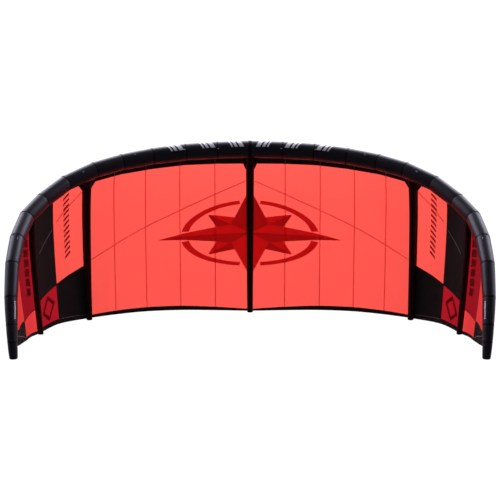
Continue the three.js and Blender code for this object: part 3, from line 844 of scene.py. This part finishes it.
finishes = {
    "coral": sailcloth("coral ripstop", CORAL, CORAL_DEEP, CORAL_GLOW, 0.88),
    # The wings' and the tips' copies of the coral ripstop let more of the light through than the middle's.
    # The wings and tips get less light, so this makes them come out as bright as the middle: painted light.
    # The tips' copy is also a redder coral.
    "wing coral": sailcloth("brightened coral ripstop for the wings", CORAL, CORAL_DEEP, CORAL_GLOW, 0.92),
    "brighter coral of the tips": sailcloth("brightened coral ripstop for the tips", TIP_CORAL, CORAL_DEEP, TIP_GLOW, 0.97),
    "red": sailcloth("red ripstop", RED, RED_DEEP, RED_GLOW, 0.95),
    "black": sailcloth("black ripstop", BLACK, BLACK_WARM, roughness=0.65, gloss=0.04),
    # The tips' copy of the black ripstop has no gloss, so it shows none of the reflection that the other
    # black panels catch: painted shade.
    "dulled black of the tips": sailcloth("dulled black ripstop for the tips", BLACK, BLACK_WARM, roughness=0.8, gloss=0),
    "warm black": sailcloth("warm black ripstop", srgb(24, 6, 9), srgb(29, 7, 11),
                            roughness=0.65, gloss=0.04),
    "star": sailcloth("dark red insignia cloth", srgb(184, 17, 20), srgb(170, 14, 18),
                      twice(200, 60, 70), 0.9),
    "star shade": sailcloth("deep red insignia cloth", srgb(150, 12, 16), srgb(140, 10, 15),
                            twice(165, 50, 60), 0.9),
    "maroon": sailcloth("maroon insignia cloth", srgb(138, 26, 34), srgb(120, 22, 30),
                        twice(150, 62, 72), 0.8),
    "tube": sleeve_cloth("tube sailcloth", 0.42, SLEEVE, SLEEVE_WORN, 0.34),
    "strut": sleeve_cloth("strut sailcloth", 0.06, srgb(46, 24, 25), srgb(54, 28, 29)),
    "tube marks": sleeve_cloth("silver insignia cloth", 0.3, srgb(245, 243, 248), srgb(232, 230, 236), 0.4),
    "coral tape": tape_finish("coral seam tape", srgb(228, 70, 60), srgb(206, 56, 48),
                              twice(250, 165, 155), 0.9),
    "black tape": tape_finish("black seam tape", srgb(16, 12, 14), srgb(34, 30, 34)),
    "pale tape": tape_finish("pale seam tape", srgb(135, 120, 124), srgb(190, 180, 186)),
    "webbing": webbing_finish("pale webbing"),
}

# Cloth pieces: node, finish, record slot, and their two seam lines.
PANELS = [("front_band", "black", "black", *matched(SEWN_EDGE, FRONT_BAND, 0, INNER))]
for number, (start, stop) in enumerate(zip(MAIN_SEAMS[:-1], MAIN_SEAMS[1:]), 1):
    PANELS.append((f"main_panel_{number}", "coral", "coral",
                   *matched(FRONT_BAND, MAIN_TAIL_BAND, start, stop)))
PANELS += [
    ("main_tail_band", "black", "black", *matched(MAIN_TAIL_BAND, TRAILING_EDGE, 0, INNER)),
    ("wing_upper_inner", "wing coral", "coral", *matched(SEWN_EDGE, WING_CROSS, INNER, WING_SEAM)),
    ("wing_upper_outer", "warm black", "black", *matched(SEWN_EDGE, WING_CROSS, WING_SEAM, OUTER)),
    ("wing_lower_inner", "black", "black", *matched(WING_CROSS, WING_TAIL_BAND, INNER, WING_SEAM)),
    ("wing_lower_outer", "red", "red", *matched(WING_CROSS, WING_TAIL_BAND, WING_SEAM, OUTER)),
    ("wing_tail_band", "black", "black", *matched(WING_TAIL_BAND, TRAILING_EDGE, INNER, OUTER)),
    ("tip_upper_inner", "red", "red", [[OUTER, 0], [9.4, 0]], TIP_CROSS_IN),
    ("tip_lower_inner", "brighter coral of the tips", "coral", TIP_CROSS_IN, TIP_BAND_IN),
    ("tip_upper_outer", "brighter coral of the tips", "coral", [[9.4, 0], [11.3, 0], [12.55, 0]], TIP_CROSS_OUT),
    ("tip_lower_outer", "dulled black of the tips", "black", TIP_CROSS_OUT, TIP_CORNER),
    ("tip_tail_band", "dulled black of the tips", "black", TIP_BAND_IN, [[OUTER, 1], [9.97, 1]]),
    ("tip_corner", "dulled black of the tips", "black", [*TIP_CORNER, [TIP_END, 0]],
     [[9.97, 1], [11.95, 1], [12.7, 1], [TIP_END, 1]]),
]

# Seam tapes, by their colour. The uprights are the seams between the main panels.
UPRIGHTS = MAIN_SEAMS[1:-1]
CORAL_SEAMS = [[on_line(FRONT_BAND, at), on_line(MAIN_TAIL_BAND, at)] for at in UPRIGHTS]
CORAL_SEAMS += [[[0.15, 0.184], [5.07, 0.593]], [[5.34, 0.083], [6.38, 0.215]]]
PALE_SEAMS = [[[at, 0.004], on_line(FRONT_BAND, at)] for at in UPRIGHTS]
PALE_SEAMS += [WING_TAIL_BAND[:2], [[6.58, 0.255], [7.26, 0.367]], TIP_STITCH]
DARK_SEAMS = [FRONT_BAND, MAIN_TAIL_BAND, [[WING_SEAM, 0.003], [WING_SEAM, 0.963]], WING_CROSS,
              WING_TAIL_BAND[1:], TIP_SEAM, TIP_CROSS_IN, TIP_CROSS_OUT, TIP_BAND_IN, TIP_CORNER]

# The star's middle on the cloth, and its half width and half height.
STAR = (0.862, 0.97, 0.46)
# Corners of the star in shares of those: where its long points meet, where a short point starts, and its tip.
STAR_WAIST, STAR_SHORT = 0.21, 0.45


def star_shapes():
    """The right half of a compass star: halves of its long points and of the two short ones between them,
    each with a light and a dark side, and the ring between the points."""
    middle, wide, tall = STAR

    def spot(across, up):
        return across * wide, middle - up * tall

    light, dark = [], []
    a, b = STAR_WAIST, STAR_SHORT
    for up in (1, -1):
        waist = (a, a * up)
        shades = (light, dark) if up > 0 else (dark, light)
        shades[0].append(facet(spot(0, 0), spot(*waist), spot(0.985, 0.008 * up), spot(1, 0)))
        shades[1].append(facet(spot(0, 0), spot(*waist), spot(0.01, 0.985 * up), spot(0, up)))
        root = a + (1 - a) * 0.2, a * 0.8 * up
        turned = a * 0.8, (a + (1 - a) * 0.2) * up
        tip = spot(b, b * up)
        shades[1].append(facet(spot(*waist), spot(*root), spot(b + 0.008, (b - 0.008) * up), tip))
        shades[0].append(facet(spot(*waist), spot(*turned), spot(b - 0.008, (b + 0.008) * up), tip))
        angle = np.radians(np.linspace(9, 81, 37))[:, None]
        size = np.linspace(0.68, 0.76, 4)[None, :]
        ring = np.stack([size * np.cos(angle) * wide, middle - up * size * np.sin(angle) * tall], -1)
        light.append(ring)
    return light, dark


def leaning_bars(along, down, wide, tall, count, lean):
    """A column of bars, each a slanted four-cornered shape: place of the first one's middle, size of each,
    their number, and how far the outer end of each hangs lower. A bar starts 2.2 heights below the last."""
    bars = []
    for k in range(count):
        y = down + k * tall * 2.2
        left, right = along - wide / 2, along + wide / 2
        bars.append(facet((left, y - tall / 2 - lean / 2), (right, y - tall / 2 + lean / 2),
                          (right, y + tall / 2 + lean / 2), (left, y + tall / 2 - lean / 2)))
    return bars


def hollow_lozenge(along, down, wide, tall, band):
    """The four sides of a lozenge's outline, mitred at its corners."""
    corners = [(0, -1), (1, 0), (0, 1), (-1, 0)]

    def spot(corner, size):
        return along + corner[0] * wide * size, down + corner[1] * tall * size

    return [facet(spot(a, 1), spot(b, 1), spot(b, 1 - band), spot(a, 1 - band))
            for a, b in zip(corners, corners[1:] + corners[:1])]


def tip_blocks():
    """A slanted column of blocks, each a parallelogram whose outer side is the higher one."""
    corners = ((0.062, -0.095), (-0.062, 0.021), (-0.062, 0.095), (0.062, -0.021))
    return [facet(*((2.588 + 0.075 * down + x, down + y) for x, y in corners))
            for down in np.arange(0.072, 0.6, 0.087)]


def tube_marks():
    """Leaning bars in threes near the middle of the tube, and a row of short dashes near its foot."""
    marks = []
    top, low, lean = math.radians(272), math.radians(203), 0.045
    for start in (0.105, 0.405, 0.735):
        for across, wide in ((0, 0.046), (0.066, 0.030), (0.114, 0.018)):
            x = start + across
            marks.append(facet((x, top), (x + wide, top), (x + wide - lean, low), (x - lean, low), 0.02))
    top, low = math.radians(208), math.radians(222)
    for x in 3.54 + 0.018 * np.arange(9):
        marks.append(facet((x, top), (x + 0.011, top), (x + 0.011, low), (x, low), 0.03))
    return marks


# The gussets beside the struts' roots and a strip beside the inner strut, in the cloth's own metres, and two
# small loops of webbing beside the outer strut's root.
GUSSETS = [
    facet((0.002, 0.112), (0.078, 0.114), (0.05, 0.178), (0.002, 0.21)),
    facet((1.650, 0.072), (1.765, 0.072), (1.765, 0.19), (1.722, 0.155)),
    facet((1.775, 0.006), (1.885, 0.006), (1.812, 0.12), (1.775, 0.135)),
    facet((1.775, 0.08), (1.812, 0.08), (1.808, 1.30), (1.775, 1.30)),
]
STRUT_LOOPS = [
    facet((2.418, 0.062), (2.436, 0.062), (2.436, 0.074), (2.418, 0.074)),
    facet((2.466, 0.020), (2.482, 0.020), (2.482, 0.032), (2.466, 0.032)),
]
# Ends of seam tape that stand off the nose of the tube.
TAPE_ENDS = [facet(*((TUBE_RUN[k] + side * 0.009, math.radians(turn))
                     for side, turn in ((-1, 278), (1, 278), (1, 288), (-1, 288))), 0.004)
             for k in range(1, LAST_SEAM - 1)]


def dress(piece, finish):
    piece.data.materials.append(finishes[finish])
    return piece


# Brightness of the floor and of the backdrop, a little past plain white.
WHITE = 1.05


def add_camera():
    """A long lens a little above the kite, which looks down on it by 9.4 degrees."""
    data = bpy.data.cameras.new("camera")
    data.lens, data.sensor_width = 68, 36
    camera = bpy.data.objects.new("camera", data)
    bpy.context.scene.collection.objects.link(camera)
    camera.location = (0, -9.85, 2.303)
    camera.rotation_euler = (math.radians(90 - 9.4), 0, 0)
    bpy.context.scene.camera = camera


def add_stage():
    """A plain white floor, and a soft studio light: a broad belt of it behind the kite and above eye level, a
    patch at each side, a higher one at each shoulder, and a little from everywhere."""
    bpy.ops.mesh.primitive_circle_add(vertices=96, radius=45, fill_type="NGON", location=(0, 0, -0.001))
    floor = bpy.context.object
    floor.name = "floor"
    f = material("floor")
    white = f.node("ShaderNodeEmission", None, {"Color": (1, 1, 1, 1), "Strength": WHITE})
    floor.data.materials.append(f.done(white))
    floor.visible_diffuse = floor.visible_glossy = floor.visible_transmission = False
    world = bpy.data.worlds.new("studio")
    bpy.context.scene.world = world
    f = Finish(world, "World")
    x, y, z = f.axes(f.node("ShaderNodeTexCoord", output=0))
    aside = x.absolute()
    behind = y.over(0.24, 0.22)
    belt = z.over(0.34, 0.22) * z.under(0.84, 0.12)
    beside = aside.over(0.75, 0.2) * z.over(0.05, 0.15) * y.over(0.0, 0.2)
    shoulder = aside.over(0.5, 0.12) * z.over(0.48, 0.14) * y.over(-0.02, 0.16)
    strength = behind * (belt * 3.9 + 0.35) + beside * 1.7 + shoulder * 2.6 + 0.1
    light = f.node("ShaderNodeBackground", None, [(0.89, 0.89, 1, 1), strength])
    seen = f.node("ShaderNodeBackground", None, [(1, 1, 1, 1), WHITE])
    f.done(f.node("ShaderNodeMixShader", None, [f.node("ShaderNodeLightPath"), light, seen]))
    bpy.context.scene.view_settings.view_transform = "Standard"


STAR_LIGHT, STAR_DARK = star_shapes()
# Shapes sewn on: what makes them, name, shapes, thickness, finish and record slot.
SEWN_ON = [
    (cloth_patches, "gussets", GUSSETS, 0.0024, "black", "black"),
    (cloth_patches, "strut_loops", STRUT_LOOPS, 0.006, "webbing", "webbing"),
    (tube_patches, "tape_ends", TAPE_ENDS, 0.007, "black tape", "tube"),
    (cloth_patches, "star_light", STAR_LIGHT, 0.0017, "star", "red"),
    (cloth_patches, "star_dark", STAR_DARK, 0.0017, "star shade", "red"),
    (cloth_patches, "wing_bars", leaning_bars(1.99, 0.1, 0.064, 0.024, 12, 0.034), 0.0017, "maroon", "red"),
    (cloth_patches, "wing_lozenge", hollow_lozenge(2.3, 1.02, 0.098, 0.125, 0.34), 0.0017, "maroon", "red"),
    (cloth_patches, "tip_blocks", tip_blocks(), 0.0017, "maroon", "red"),
    (tube_patches, "tube_marks", tube_marks(), 0.0014, "tube marks", "webbing"),
]

add_camera()
add_stage()
dress(leading_edge(), "tube")
dress(centre_band(), "black tape")
for word, side in SIDES.items():
    dress(seam_hoops(side), "black tape")
    for node, finish, slot, top, bottom in PANELS:
        piece = dress(panel(f"{node}_{word}", side, top, bottom), finish)
        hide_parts(f"{node}_{word}")
    dress(tapes("coral_seams", side, CORAL_SEAMS, 0.010), "coral tape")
    dress(tapes("pale_seams", side, PALE_SEAMS, 0.0045), "pale tape")
    dress(tapes("dark_seams", side, DARK_SEAMS, 0.008), "black tape")
    for sew, name, shapes, thickness, finish, slot in SEWN_ON:
        dress(sew(name, side, shapes, thickness), finish)
    for name in ("strut_inner", "strut_outer"):
        dress(strut(name, side), "strut")
    for number in range(1, len(TABS) + 1):
        dress(bridle_tab(number, side), "webbing")
dress(strut("strut_centre"), "strut")
